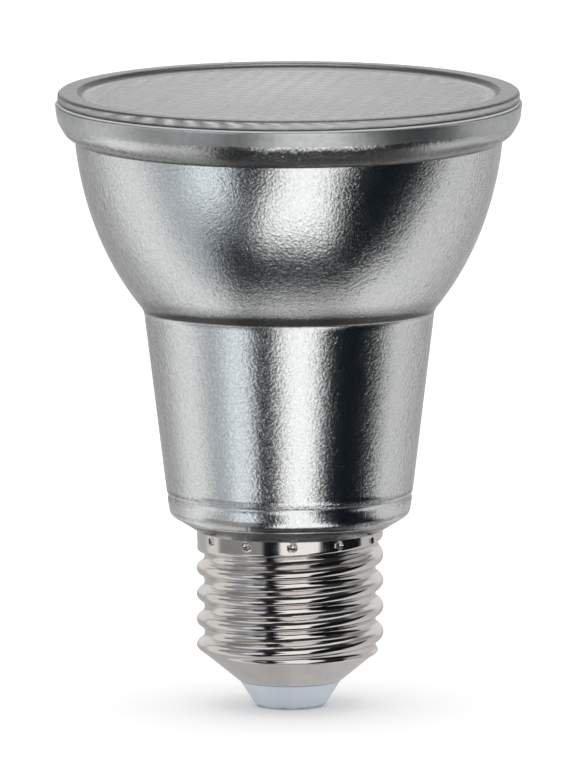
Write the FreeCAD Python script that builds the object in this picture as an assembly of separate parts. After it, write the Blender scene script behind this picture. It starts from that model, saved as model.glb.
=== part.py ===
import FreeCAD, Part
import math
import os

os.makedirs("parts", exist_ok=True)

# Reflector spotlight bulb. Millimetres, +Z up, lens at the top.
# The origin is the middle of the centre contact's flat bottom.

# Screw cap: nickel-plated sheet shell with a rolled right-hand round thread
cap_height = 25.0
cap_sheet = 0.3
collar_radius = 13.0
collar_straight = 1.4
thread_pitch = 3.629
thread_crest_radius = 13.1
thread_round = 1.025
thread_phase_z = 10.4
thread_fade = 0.85
thread_blend = 0.8
cap_taper_top_radius = 12.3
cap_taper_top_z = 7.8
cap_lip_radius = 7.2
cap_lip_z = 3.6
dimple_count = 12
dimple_radius = 0.55
dimple_depth = 0.32
dimple_drop = 0.75
dimple_turn = 2.0
dimple_sheet = 0.18

# Insulator, contact and its rivet
insulator_foot_z = 0.2
insulator_foot_radius = 4.95
insulator_foot_round = 0.4
insulator_rim_gap = 0.08
insulator_top_z = 7.4
insulator_flange_radius = 10.2
insulator_pocket_radius = 8.2
insulator_pocket_slant = 0.6
insulator_floor = 2.8
contact_radius = 4.3
contact_thickness = 0.45
contact_edge_round = 0.15
rivet_radius = 1.5
rivet_bore_radius = 0.95
rivet_head_radius = 2.3
rivet_head = 0.5
rivet_head_slant = 0.2
fit_gap = 0.05

# Pressed glass reflector
foot_rise = 3.7
foot_radius = 17.05
foot_base_step = 0.1
foot_slant_radius = 16.8
foot_slant_rise = 2.3
foot_round = 1.0
ring_groove_above_foot = 1.3
ring_groove_width = 0.9
ring_groove_depth = 0.28
ring_groove_round = 0.25
neck_length = 27.5
neck_top_radius = 20.4
neck_wall = 2.2
neck_corner_round = 2.0
throat_step = 0.05
bowl_half_width = 30.2
bowl_half_height = 39.1
bowl_wall = 2.0
rim_above_equator = 0.25
rim_overhang = 2.52
rim_root = 0.9
rim_band = 2.35
rim_draft = 0.27
rim_slant = 1.95
rim_slant_width = 1.15
rim_round = 1.2
rim_shoulder_round = 0.9
rim_edge = 0.25
stem_gap = 0.1
stem_length = 1.7
stem_tail_radius = 11.4
stem_tail_length = 2.4
stem_bore_radius = 10.2
stem_step = 0.3
stem_sink = 0.5
stem_groove_depth = 0.6
stem_groove_lead = 0.15
foot_floor = 2.0

# Front lens and its adhesive
seal_thickness = 0.25
seal_setback = 1.0
seal_inset = 0.3
lens_inset = 0.37
lens_border_height = 1.4
lens_border_round = 0.7
lens_border_width = 2.75
lens_border_slant = 0.5
lens_recess = 0.47
lens_plate = 2.4
spigot_gap = 0.3
pillow_pitch = 2.7
pillow_depth = 0.42
pillow_turn = -12.0

# Heat sink, LED board and screws
sink_gap = 0.3
sink_wall = 1.6
sink_plate = 2.6
sink_below_throat = 2.0
sink_foot_step = 0.3
sink_foot_lead = 0.8
fin_count = 12
fin_thickness = 1.0
fin_lift = 3.0
pad_radius = 15.0
pad_thickness = 0.3
board_radius = 15.6
board_thickness = 1.6
chip_ring_radius = 8.0
chip_ring_count = 6
chip_size = 3.2
chip_height = 0.7
chip_notch = 0.25
chip_window = 2.4
chip_window_depth = 0.25
screw_count = 3
screw_ring_radius = 12.8
screw_radius = 1.25
screw_head_radius = 2.2
screw_head_height = 1.3
screw_slot_width = 0.6
screw_slot_depth = 0.7
screw_slot_reach = 1.35
screw_below_plate = 0.6
screw_edge = 0.5
screw_hole_gap = 0.2
lead_hole_offset = 4.6
lead_hole_radius = 0.9
lead_pad_offset = 7.3
board_notch_radius = 1.2
board_notch_out = 0.3

# Driver sleeve and driver board
sleeve_radius = 9.9
sleeve_wall = 0.9
sleeve_floor = 1.0
sleeve_fin_gap = 0.35
sleeve_round = 0.5
sleeve_hole_radius = 1.1
neutral_hole_radius = 0.6
rail_depth = 1.6
rail_grip = 0.72
rail_thickness = 0.7
driver_width = 13.4
driver_thickness = 1.2
driver_back_y = -5.6
driver_gap_low = 1.1
driver_gap_high = 2.6
driver_corner = 0.5

# Parts on the driver board, stacked up its front with this gap between them
part_gap = 0.8
core_width = 10.0
core_height = 10.4
core_depth = 5.0
core_post_width = 2.2
winding_depth = 8.2
winding_flange = 0.8
winding_round = 0.9
winding_lift = 0.9
flange_lift = 0.3
flange_reach = 0.4
bobbin_pin_radius = 0.3
bobbin_pin_spread = 0.7
smoothing_radius = 3.15
smoothing_length = 11.0
output_radius = 2.5
output_length = 8.0
can_neck_depth = 0.25
can_neck_width = 0.8
can_neck_rise = 1.4
can_edge_round = 0.4
can_vent_reach = 0.6
can_vent_width = 0.3
can_vent_depth = 0.2
film_width = 7.2
film_height = 3.2
film_depth = 5.6
film_rise = 7.2
film_side = 1.6
film_edge = 0.4
rectifier_size = (4.8, 3.9, 2.4)
rectifier_rise = 11.0
rectifier_legs = 2
driver_chip_size = (4.9, 3.9, 1.5)
driver_chip_rise = 22.0
driver_chip_legs = 4
chip_leg_width = 0.42
chip_leg_reach = 1.0
chip_leg_sheet = 0.2
chip_knee_share = 0.45
chip_knee_height = 0.45
chip_stand_off = 0.1
chip_edge = 0.3
fuse_radius = 1.2
fuse_length = 4.6
fuse_side = -4.3
fuse_rise = 5.6
fuse_stand = 1.5
fuse_edge = 0.4
fuse_wire_radius = 0.3
fuse_wire_reach = 1.2
fuse_wire_bend = 0.7

# Leads
lead_radius = 0.5
lead_bend_radius = 1.3
led_lead_drop = 3.4
led_lead_lift = 1.6
live_lead_rise = 2.4
live_lead_end_z = 0.75
neutral_lead_side = 4.2
neutral_lead_radius = 0.4
neutral_lead_end_gap = 0.2


def revolve(points, rounds=None):
    """Turn a closed outline of (radius, height) points about Z.

    rounds maps a point's index to the radius of the arc that rounds it.
    """
    rounds = rounds or {}
    corners = [FreeCAD.Vector(radius, 0, height) for radius, height in points]
    count = len(corners)
    starts = []
    ends = []
    arcs = []
    for index, corner in enumerate(corners):
        size = rounds.get(index, 0.0)
        before = corners[index - 1] - corner
        after = corners[(index + 1) % count] - corner
        if size <= 0:
            starts.append(corner)
            ends.append(corner)
            arcs.append(None)
            continue
        half_angle = before.getAngle(after) / 2
        reach = size / math.tan(half_angle)
        limit = 0.48 * min(before.Length, after.Length)
        if reach > limit:
            reach = limit
            size = reach * math.tan(half_angle)
        before.normalize()
        after.normalize()
        first = corner + before * reach
        last = corner + after * reach
        middle = before + after
        middle.normalize()
        crown = corner + middle * (size / math.sin(half_angle) - size)
        starts.append(first)
        ends.append(last)
        arcs.append(Part.Arc(first, crown, last).toShape())
    edges = []
    for index in range(count):
        if arcs[index] is not None:
            edges.append(arcs[index])
        start = ends[index]
        stop = starts[(index + 1) % count]
        if start.distanceToPoint(stop) > 1e-6:
            edges.append(Part.LineSegment(start, stop).toShape())
    face = Part.Face(Part.Wire(edges))
    return face.revolve(FreeCAD.Vector(0, 0, 0), FreeCAD.Vector(0, 0, 1), 360)


def cylinder(radius, height, x=0.0, y=0.0, z=0.0, direction=(0, 0, 1)):
    return Part.makeCylinder(radius, height, FreeCAD.Vector(x, y, z), FreeCAD.Vector(*direction))


def block(low, high):
    size = [top - bottom for bottom, top in zip(low, high)]
    return Part.makeBox(size[0], size[1], size[2], FreeCAD.Vector(*low))


def turned(shape, degrees):
    copy = shape.copy()
    copy.rotate(FreeCAD.Vector(0, 0, 0), FreeCAD.Vector(0, 0, 1), degrees)
    return copy


def wire_tube(points, radius, bend):
    """A round wire along straight runs that are joined by tangent arcs."""
    corners = [FreeCAD.Vector(*point) for point in points]
    edges = []
    start = corners[0]
    for index in range(1, len(corners) - 1):
        corner = corners[index]
        before = corners[index - 1] - corner
        after = corners[index + 1] - corner
        half_angle = before.getAngle(after) / 2
        reach = min(bend / math.tan(half_angle), 0.45 * before.Length, 0.45 * after.Length)
        size = reach * math.tan(half_angle)
        before.normalize()
        after.normalize()
        middle = before + after
        middle.normalize()
        first = corner + before * reach
        last = corner + after * reach
        crown = corner + middle * (size / math.sin(half_angle) - size)
        edges.append(Part.LineSegment(start, first).toShape())
        edges.append(Part.Arc(first, crown, last).toShape())
        start = last
    edges.append(Part.LineSegment(start, corners[-1]).toShape())
    section = Part.Face(Part.Wire(Part.Circle(corners[0], corners[1] - corners[0], radius).toShape()))
    return Part.Wire(edges).makePipe(section)


def export(shape, name):
    assert shape.isValid(), name
    shape.exportStep("parts/" + name + ".step")
    print(name, len(shape.Solids), round(shape.Volume, 1))


# Heights and radii that several pieces share
foot_z = cap_height + foot_rise
neck_top_z = foot_z + neck_length
neck_slope = (neck_top_radius - foot_radius) / neck_length
bowl_drop = bowl_half_height * math.sqrt(1 - (neck_top_radius / bowl_half_width) ** 2)
equator_z = neck_top_z + bowl_drop
rim_top_z = equator_z + rim_above_equator
rim_radius = bowl_half_width + rim_overhang
seal_top_z = rim_top_z + seal_thickness
lens_top_z = seal_top_z + lens_border_height
lens_recess_z = lens_top_z - lens_recess
bowl_inner_radius = bowl_half_width - bowl_wall
bowl_inner_height = bowl_half_height - bowl_wall
spigot_radius = bowl_inner_radius - spigot_gap
floor_z = cap_height + foot_floor
collar_inner_radius = collar_radius - cap_sheet
stem_radius = collar_inner_radius - stem_gap
dimple_z = cap_height - dimple_drop
taper_slope = (cap_taper_top_radius - cap_lip_radius) / (cap_taper_top_z - cap_lip_z)
taper_slant = math.sqrt(1 + taper_slope ** 2)
plate_top_z = neck_top_z - sink_below_throat
plate_low_z = plate_top_z - sink_plate
pad_top_z = plate_top_z + pad_thickness
board_top_z = pad_top_z + board_thickness
sleeve_low_z = insulator_top_z
sleeve_inner_radius = sleeve_radius - sleeve_wall
driver_low_z = sleeve_low_z + sleeve_floor + driver_gap_low
driver_high_z = plate_low_z - driver_gap_high
driver_front_y = driver_back_y + driver_thickness
smoothing_rise = film_rise + film_height + part_gap + smoothing_radius
core_rise = smoothing_rise + smoothing_radius + part_gap
output_rise = core_rise + core_height + part_gap + output_radius


def neck_radius(z):
    """Outer radius of the glass neck's cone."""
    return foot_radius + neck_slope * (z - foot_z)


def neck_inner_radius(z):
    return neck_radius(z) - neck_wall


def bowl_radius(z, half_width, half_height):
    return half_width * math.sqrt(1 - ((z - equator_z) / half_height) ** 2)


# The glass reflector: rim, bowl, neck and foot pressed as one piece
def bowl_curve(half_width, half_height, low_z, high_z):
    """The bowl's wall line: a quarter ellipse about its widest circle."""
    centre = FreeCAD.Vector(0, 0, equator_z)
    tall = FreeCAD.Vector(0, 0, equator_z + half_height)
    wide = FreeCAD.Vector(half_width, 0, equator_z)
    ellipse = Part.Ellipse(tall, wide, centre)
    ends = []
    for z in (low_z, high_z):
        point = FreeCAD.Vector(bowl_radius(z, half_width, half_height), 0, z)
        ends.append(ellipse.parameter(point))
    if ends[0] > ends[1]:
        ends.reverse()
    return Part.ArcOfEllipse(ellipse, ends[0], ends[1])


def bowl_solid(half_width, half_height, low_z, high_z):
    """A solid filled bowl between two heights, its curved side an ellipse."""
    side = bowl_curve(half_width, half_height, low_z, high_z).toShape()
    low = FreeCAD.Vector(bowl_radius(low_z, half_width, half_height), 0, low_z)
    high = FreeCAD.Vector(bowl_radius(high_z, half_width, half_height), 0, high_z)
    low_centre = FreeCAD.Vector(0, 0, low_z)
    high_centre = FreeCAD.Vector(0, 0, high_z)
    edges = [
        Part.LineSegment(low_centre, low).toShape(),
        side,
        Part.LineSegment(high, high_centre).toShape(),
        Part.LineSegment(high_centre, low_centre).toShape(),
    ]
    face = Part.Face(Part.Wire(Part.__sortEdges__(edges)))
    return face.revolve(FreeCAD.Vector(0, 0, 0), FreeCAD.Vector(0, 0, 1), 360)


def ring_edges(shape, radius, z):
    """Full circles of this radius at this height."""
    found = []
    for edge in shape.Edges:
        curve = edge.Curve
        if isinstance(curve, Part.Circle):
            if abs(curve.Radius - radius) < 0.01 and abs(curve.Center.z - z) < 0.01:
                found.append(edge)
    return found


def glass_reflector():
    rim_low_radius = rim_radius - rim_draft
    slant_top_z = rim_top_z - rim_band
    slant_low_z = slant_top_z - rim_slant
    rim_root_z = slant_low_z - rim_root
    groove_z = foot_z + ring_groove_above_foot
    half_groove = ring_groove_width / 2
    lower = revolve(
        [
            (0, cap_height),
            (collar_radius + foot_base_step, cap_height),
            (foot_slant_radius, cap_height + foot_slant_rise),
            (foot_radius, foot_z),
            (neck_radius(groove_z - half_groove), groove_z - half_groove),
            (neck_radius(groove_z) - ring_groove_depth, groove_z),
            (neck_radius(groove_z + half_groove), groove_z + half_groove),
            (neck_top_radius, neck_top_z),
            (0, neck_top_z),
        ],
        {2: foot_round, 5: ring_groove_round},
    )
    bowl = bowl_solid(bowl_half_width, bowl_half_height, neck_top_z, slant_top_z)
    rim = revolve(
        [
            (0, rim_root_z),
            (bowl_radius(rim_root_z, bowl_half_width, bowl_half_height), rim_root_z),
            (rim_low_radius - rim_slant_width, slant_low_z),
            (rim_low_radius, slant_top_z),
            (rim_radius, rim_top_z - rim_edge),
            (rim_radius - rim_edge, rim_top_z),
            (0, rim_top_z),
        ],
        {2: rim_shoulder_round, 3: rim_round},
    )
    body = lower.fuse([bowl, rim]).removeSplitter()
    corner = ring_edges(body, neck_top_radius, neck_top_z)
    body = body.makeFillet(neck_corner_round, corner)

    # the throat is where the inner bowl has narrowed to the inner cone
    throat_z = neck_top_z
    while bowl_radius(throat_z, bowl_inner_radius, bowl_inner_height) < neck_inner_radius(throat_z):
        throat_z = throat_z + throat_step
    bowl_space = bowl_solid(bowl_inner_radius, bowl_inner_height, throat_z, equator_z)
    mouth = cylinder(bowl_inner_radius, rim_top_z - equator_z + 1, z=equator_z)
    neck_space = revolve(
        [
            (0, floor_z),
            (neck_inner_radius(floor_z), floor_z),
            (neck_inner_radius(throat_z), throat_z),
            (bowl_radius(throat_z, bowl_inner_radius, bowl_inner_height), throat_z),
            (0, throat_z),
        ]
    )
    # the stem that stands inside the cap, with a groove that the staking dimples press into
    tail_z = cap_height - stem_length - stem_tail_length
    stem = revolve(
        [
            (stem_bore_radius, tail_z),
            (stem_tail_radius, tail_z),
            (stem_tail_radius, cap_height - stem_length),
            (stem_radius, cap_height - stem_length + stem_step),
            (stem_radius, dimple_z - dimple_radius - stem_groove_lead),
            (stem_radius - stem_groove_depth, dimple_z - dimple_radius / 2),
            (stem_radius - stem_groove_depth, dimple_z + dimple_radius / 2),
            (stem_radius, dimple_z + dimple_radius + stem_groove_lead),
            (stem_radius, floor_z - stem_sink),
            (stem_bore_radius, floor_z - stem_sink),
        ]
    )
    bore = cylinder(stem_bore_radius, floor_z - tail_z + 1, z=tail_z)
    body = body.cut([bowl_space, mouth, neck_space])
    return body.fuse(stem).cut(bore).removeSplitter()


# The front lens: flange, raised border, recessed middle and pillow lenslets on its inner face
def front_lens():
    plate_low_z = lens_recess_z - lens_plate
    flange_radius = rim_radius - lens_inset
    border_radius = flange_radius - lens_border_width
    blank = revolve(
        [
            (0, plate_low_z),
            (spigot_radius, plate_low_z),
            (spigot_radius, seal_top_z),
            (flange_radius, seal_top_z),
            (flange_radius, lens_top_z),
            (border_radius, lens_top_z),
            (border_radius - lens_border_slant, lens_recess_z),
            (0, lens_recess_z),
        ],
        {4: lens_border_round},
    )
    count = int(spigot_radius / pillow_pitch) + 1
    grooves = []
    for turn in (pillow_turn, pillow_turn + 90):
        for index in range(-count, count):
            groove = pillow_groove((index + 0.5) * pillow_pitch, plate_low_z)
            grooves.append(turned(groove, turn))
    return blank.cut(grooves)


def pillow_groove(offset, plate_low_z):
    """A V along the lens. Where two rows of them cross, each cell is left as a low point."""
    overlap = 1.1
    half_width = overlap * pillow_pitch / 2
    low_z = plate_low_z + pillow_depth * (1 - overlap)
    corners = [
        FreeCAD.Vector(offset - half_width, -rim_radius, low_z),
        FreeCAD.Vector(offset, -rim_radius, plate_low_z + pillow_depth),
        FreeCAD.Vector(offset + half_width, -rim_radius, low_z),
    ]
    outline = Part.Face(Part.makePolygon(corners + corners[:1]))
    return outline.extrude(FreeCAD.Vector(0, 2 * rim_radius, 0))


def lens_seal():
    inner = bowl_inner_radius + seal_setback
    outer = rim_radius - seal_inset
    return revolve([(inner, rim_top_z), (outer, rim_top_z), (outer, seal_top_z), (inner, seal_top_z)])


# The cap shell: one smooth sheet surface whose thread rises round it like a screw
def groove_depth(away):
    """Depth of the rolled thread at a height from a root: equal round roots and crests."""
    quarter = thread_pitch / 4
    if away < quarter:
        bulge = thread_round - math.sqrt(thread_round ** 2 - quarter ** 2)
        return 2 * bulge - thread_round + math.sqrt(thread_round ** 2 - away ** 2)
    away = thread_pitch / 2 - away
    return thread_round - math.sqrt(thread_round ** 2 - away ** 2)


def ease(low, high, value):
    share = min(max((value - low) / (high - low), 0.0), 1.0)
    return share * share * (3 - 2 * share)


def shell_radius(angle, z, inset):
    """Radius of the shell's sheet at a height: taper below, thread, then plain collar.

    The groove rises with the angle, and each turn of it has one depth across its whole width,
    so the last turn runs out along the helix under the collar.
    """
    if z <= cap_taper_top_z:
        return cap_taper_top_radius - taper_slope * (cap_taper_top_z - z) - inset * taper_slant
    thread_end_z = cap_height - collar_straight
    first_root_z = thread_phase_z + thread_pitch * (angle / (2 * math.pi) - 0.5)
    root_z = first_root_z + thread_pitch * round((z - first_root_z) / thread_pitch)
    run_out = 1 - ease(thread_end_z - thread_fade, thread_end_z, root_z)
    crest_share = 1 - ease(thread_end_z - 2 * thread_blend, thread_end_z, z)
    crest_radius = collar_radius + (thread_crest_radius - collar_radius) * crest_share
    radius = crest_radius - run_out * groove_depth(abs(z - root_z))
    low_share = ease(cap_taper_top_z - thread_blend / 2, cap_taper_top_z + thread_blend, z)
    return radius * low_share + cap_taper_top_radius * (1 - low_share) - inset


def shell_levels():
    """Heights at which the sheet's shape is given, from the lip up to the collar's edge."""
    rows_per_turn = 12
    taper_rows = 4
    levels = []
    for index in range(taper_rows):
        levels.append(cap_lip_z + (cap_taper_top_z - cap_lip_z) * index / taper_rows)
    rows = round((cap_height - cap_taper_top_z) * rows_per_turn / thread_pitch)
    for index in range(rows + 1):
        levels.append(cap_taper_top_z + (cap_height - cap_taper_top_z) * index / rows)
    return levels


def sheet_surface(inset):
    """A surface closed round the axis, pulled by a net of points at the shell's radius."""
    around = 24
    spread = (4 + 2 * math.cos(2 * math.pi / around)) / 6
    net = []
    for step in range(around):
        angle = 2 * math.pi * step / around
        column = []
        for z in shell_levels():
            radius = shell_radius(angle, z, inset) / spread
            column.append(FreeCAD.Vector(radius * math.cos(angle), radius * math.sin(angle), z))
        net.append(column)
    rows = len(net[0])
    round_knots = list(range(around + 1))
    up_knots = list(range(rows - 2))
    up_counts = [4] + [1] * (rows - 4) + [4]
    surface = Part.BSplineSurface()
    surface.buildFromPolesMultsKnots(
        net, [1] * (around + 1), up_counts, round_knots, up_knots, True, False, 3, 3
    )
    return surface.toShape()


def level_edge(face, z):
    for edge in face.Edges:
        if edge.BoundBox.ZMax - edge.BoundBox.ZMin < 1e-6 and abs(edge.BoundBox.ZMin - z) < 1e-3:
            return edge
    raise ValueError("no edge at this height")


def cap_shell():
    outside = sheet_surface(0.0)
    inside = sheet_surface(cap_sheet)
    faces = [outside, inside]
    for z in (cap_lip_z, cap_height):
        outer = Part.Face(Part.Wire(level_edge(outside, z)))
        inner = Part.Face(Part.Wire(level_edge(inside, z)))
        faces.append(outer.cut(inner).Faces[0])
    shell = Part.makeShell(faces)
    shell.sewShape()
    solid = Part.Solid(shell)
    if solid.Volume < 0:
        solid.reverse()
    punch_radius = (dimple_radius ** 2 + dimple_depth ** 2) / (2 * dimple_depth)
    reach = collar_radius - dimple_depth + punch_radius
    inner_space = cylinder(collar_radius - cap_sheet / 2, cap_height)
    bumps = []
    dents = []
    for index in range(dimple_count):
        angle = math.radians(dimple_turn - 90 + 360 * index / dimple_count)
        centre = FreeCAD.Vector(reach * math.cos(angle), reach * math.sin(angle), dimple_z)
        dents.append(Part.makeSphere(punch_radius, centre))
        bumps.append(Part.makeSphere(punch_radius + dimple_sheet, centre).common(inner_space))
    return solid.fuse(bumps).cut(dents)


# The insulator, with the shell's lip seated on its ledge
def cap_insulator():
    inside_radius = cap_lip_radius - (cap_sheet + insulator_rim_gap) * taper_slant
    flange_low_z = cap_lip_z + (insulator_flange_radius - inside_radius) / taper_slope
    recess_z = contact_thickness
    floor_top_z = recess_z + insulator_floor
    return revolve(
        [
            (rivet_radius + fit_gap, recess_z),
            (contact_radius + fit_gap, recess_z),
            (contact_radius + fit_gap, insulator_foot_z),
            (insulator_foot_radius, insulator_foot_z),
            (cap_lip_radius - insulator_rim_gap, cap_lip_z),
            (inside_radius, cap_lip_z),
            (insulator_flange_radius, flange_low_z),
            (insulator_flange_radius, insulator_top_z),
            (insulator_pocket_radius, insulator_top_z),
            (insulator_pocket_radius - insulator_pocket_slant, floor_top_z),
            (rivet_radius + fit_gap, floor_top_z),
        ],
        {3: insulator_foot_round},
    )


def centre_contact():
    floor_top_z = contact_thickness + insulator_floor
    return revolve(
        [
            (0, 0),
            (contact_radius, 0),
            (contact_radius, contact_thickness),
            (rivet_radius, contact_thickness),
            (rivet_radius, floor_top_z),
            (rivet_head_radius, floor_top_z),
            (rivet_head_radius - rivet_head_slant, floor_top_z + rivet_head),
            (rivet_bore_radius, floor_top_z + rivet_head),
            (rivet_bore_radius, contact_thickness),
            (0, contact_thickness),
        ],
        {1: contact_edge_round},
    )


# The heat sink: a conical cup that stands on the glass floor, with fins on its inside
def heat_sink():
    low_z = floor_z
    low_radius = neck_inner_radius(low_z) - sink_gap - sink_foot_step
    top_radius = neck_inner_radius(plate_top_z) - sink_gap
    cup = revolve(
        [
            (low_radius - sink_wall, low_z),
            (low_radius, low_z),
            (low_radius + sink_foot_step, low_z + sink_foot_lead),
            (top_radius, plate_top_z),
            (0, plate_top_z),
            (0, plate_low_z),
            (top_radius - sink_wall - neck_slope * sink_plate, plate_low_z),
        ]
    )
    mould = revolve(
        [
            (0, low_z),
            (low_radius - sink_wall / 2, low_z),
            (top_radius - sink_wall / 2, plate_top_z - sink_plate / 2),
            (0, plate_top_z - sink_plate / 2),
        ]
    )
    fin_tip = sleeve_radius + sleeve_fin_gap
    fins = []
    for index in range(fin_count):
        fin = block(
            (fin_tip, -fin_thickness / 2, low_z + fin_lift),
            (neck_top_radius, fin_thickness / 2, plate_top_z - sink_plate / 2),
        )
        fins.append(turned(fin, 360 * (index + 0.5) / fin_count))
    fins = [fin.common(mould) for fin in fins]
    cup = cup.fuse(fins)
    holes = []
    for x, y in screw_places():
        holes.append(cylinder(screw_radius + fit_gap, sink_plate + 1, x, y, plate_low_z - 0.5))
    for side in (-1, 1):
        x = side * lead_hole_offset
        holes.append(cylinder(lead_hole_radius, sink_plate + 1, x, 0, plate_low_z - 0.5))
    return cup.cut(holes).removeSplitter()


def screw_places():
    places = []
    for index in range(screw_count):
        angle = math.radians(90 + 360 * index / screw_count)
        places.append((screw_ring_radius * math.cos(angle), screw_ring_radius * math.sin(angle)))
    return places


def chip_places():
    places = [(0.0, 0.0, 0.0)]
    for index in range(chip_ring_count):
        degrees = 30 + 360 * index / chip_ring_count
        angle = math.radians(degrees)
        places.append((chip_ring_radius * math.cos(angle), chip_ring_radius * math.sin(angle), degrees))
    return places


def flat_disc(radius, low_z, thickness, screw_hole):
    disc = cylinder(radius, thickness, z=low_z)
    holes = []
    for x, y in screw_places():
        holes.append(cylinder(screw_hole, thickness + 1, x, y, low_z - 0.5))
    for side in (-1, 1):
        holes.append(cylinder(lead_hole_radius, thickness + 1, side * lead_hole_offset, 0, low_z - 0.5))
    return disc.cut(holes)


def led_board():
    board = flat_disc(board_radius, pad_top_z, board_thickness, screw_radius + screw_hole_gap)
    notches = []
    x = board_radius + board_notch_out
    notch = cylinder(board_notch_radius, board_thickness + 1, x, 0, pad_top_z - 0.5)
    for side in (0, 180):
        notches.append(turned(notch, side))
    return board.cut(notches)


def chip_window_block(grow=0.0):
    half = chip_window / 2
    return block((-half, -half, chip_height - chip_window_depth), (half, half, chip_height + grow))


def led_chips():
    half = chip_size / 2
    package = block((-half, -half, 0), (half, half, chip_height))
    upright = [edge for edge in package.Edges if edge.BoundBox.ZLength > chip_height / 2]
    package = package.makeChamfer(chip_notch, upright[:1]).cut(chip_window_block(1.0))
    return set_on_board(package)


def led_phosphor():
    return set_on_board(chip_window_block())


def set_on_board(piece):
    """One copy of the piece at each LED's place, turned to face outwards."""
    copies = []
    for x, y, degrees in chip_places():
        copy = turned(piece, degrees)
        copy.translate(FreeCAD.Vector(x, y, board_top_z))
        copies.append(copy)
    return Part.makeCompound(copies)


def board_screws():
    screws = []
    for x, y in screw_places():
        shank_low = plate_low_z - screw_below_plate
        head_top = board_top_z + screw_head_height
        screw = revolve(
            [
                (0, shank_low),
                (screw_radius, shank_low),
                (screw_radius, board_top_z),
                (screw_head_radius, board_top_z),
                (screw_head_radius, head_top - screw_edge),
                (screw_head_radius - screw_edge, head_top),
                (0, head_top),
            ]
        )
        half = screw_slot_width / 2
        reach = screw_slot_reach
        slots = []
        for turn in (20, 110):
            slot = block((-reach, -half, head_top - screw_slot_depth), (reach, half, head_top + 1))
            slots.append(turned(slot, turn))
        screw = screw.cut(slots)
        screw.translate(FreeCAD.Vector(x, y, 0))
        screws.append(screw)
    return Part.makeCompound(screws)


# The driver sleeve: a plastic tube with a floor and two pairs of rails for the board
def driver_sleeve():
    tube = revolve(
        [
            (0, sleeve_low_z),
            (sleeve_radius, sleeve_low_z),
            (sleeve_radius, plate_low_z),
            (sleeve_inner_radius, plate_low_z),
            (sleeve_inner_radius, sleeve_low_z + sleeve_floor),
            (0, sleeve_low_z + sleeve_floor),
        ],
        {1: sleeve_round},
    )
    inside = cylinder(sleeve_inner_radius + sleeve_wall / 2, plate_low_z - sleeve_low_z, z=sleeve_low_z)
    rail_low_z = sleeve_low_z + sleeve_floor / 2
    rail_high_z = driver_high_z + driver_gap_high / 2
    half_width = driver_width / 2
    rails = []
    for side in (-1, 1):
        inner = side * (half_width - rail_grip)
        outer = side * (half_width + rail_depth)
        for low_y in (driver_back_y - fit_gap - rail_thickness, driver_front_y + fit_gap):
            rail = block(
                (min(inner, outer), low_y, rail_low_z),
                (max(inner, outer), low_y + rail_thickness, rail_high_z),
            )
            rails.append(rail.common(inside))
        stop = block(
            (min(inner, outer), driver_back_y - fit_gap - rail_thickness, rail_low_z),
            (max(inner, outer), driver_front_y + fit_gap + rail_thickness, driver_low_z),
        )
        rails.append(stop.common(inside))
    tube = tube.fuse(rails)
    live_hole = cylinder(sleeve_hole_radius, sleeve_floor + 1, z=sleeve_low_z - 0.5)
    hole_start = sleeve_inner_radius - sleeve_wall
    neutral_hole = cylinder(neutral_hole_radius, 3 * sleeve_wall, hole_start, 0, neutral_z(), (1, 0, 0))
    return tube.cut([live_hole, neutral_hole]).removeSplitter()


def neutral_z():
    """The neutral lead leaves at the height of a thread crest, where the shell is widest."""
    crest_z = thread_phase_z
    while crest_z < driver_low_z + 1:
        crest_z = crest_z + thread_pitch
    return crest_z


def driver_board():
    half_width = driver_width / 2
    board = block(
        (-half_width, driver_back_y, driver_low_z),
        (half_width, driver_front_y, driver_high_z),
    )
    upright = [edge for edge in board.Edges if edge.BoundBox.YLength > driver_thickness / 2]
    return board.makeChamfer(driver_corner, upright)


def transformer_core():
    """Two E halves round the winding, their middle post left inside it."""
    low_z = driver_low_z + core_rise
    middle_y = driver_front_y + winding_depth / 2
    frame = block(
        (-core_width / 2, middle_y - core_depth / 2, low_z),
        (core_width / 2, middle_y + core_depth / 2, low_z + core_height),
    )
    window = block(
        (-core_width / 2 + core_post_width, middle_y - core_depth, low_z + core_post_width),
        (core_width / 2 - core_post_width, middle_y + core_depth, low_z + core_height - core_post_width),
    )
    return frame.cut(window)


def transformer_winding():
    """The tape-wrapped coil between the bobbin's two flanges, on four pins."""
    low_z = driver_low_z + core_rise + core_post_width + fit_gap
    high_z = driver_low_z + core_rise + core_height - core_post_width - fit_gap
    half = core_width / 2 - core_post_width - fit_gap
    middle_y = driver_front_y + winding_depth / 2
    back_y = driver_front_y + winding_depth
    coil = block((-half, driver_front_y + winding_lift, low_z), (half, back_y, high_z))
    along = [edge for edge in coil.Edges if edge.BoundBox.ZLength > (high_z - low_z) / 2]
    coil = coil.makeChamfer(winding_round, along)
    pieces = []
    for z in (low_z, high_z - winding_flange):
        flange_low = (-half, driver_front_y + flange_lift, z)
        pieces.append(block(flange_low, (half, back_y + flange_reach, z + winding_flange)))
        pin_z = z + winding_flange / 2
        for side in (-1, 1):
            x = side * half * bobbin_pin_spread
            pieces.append(cylinder(bobbin_pin_radius, winding_lift, x, driver_front_y, pin_z, (0, 1, 0)))
    return coil.fuse(pieces).removeSplitter()


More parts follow.
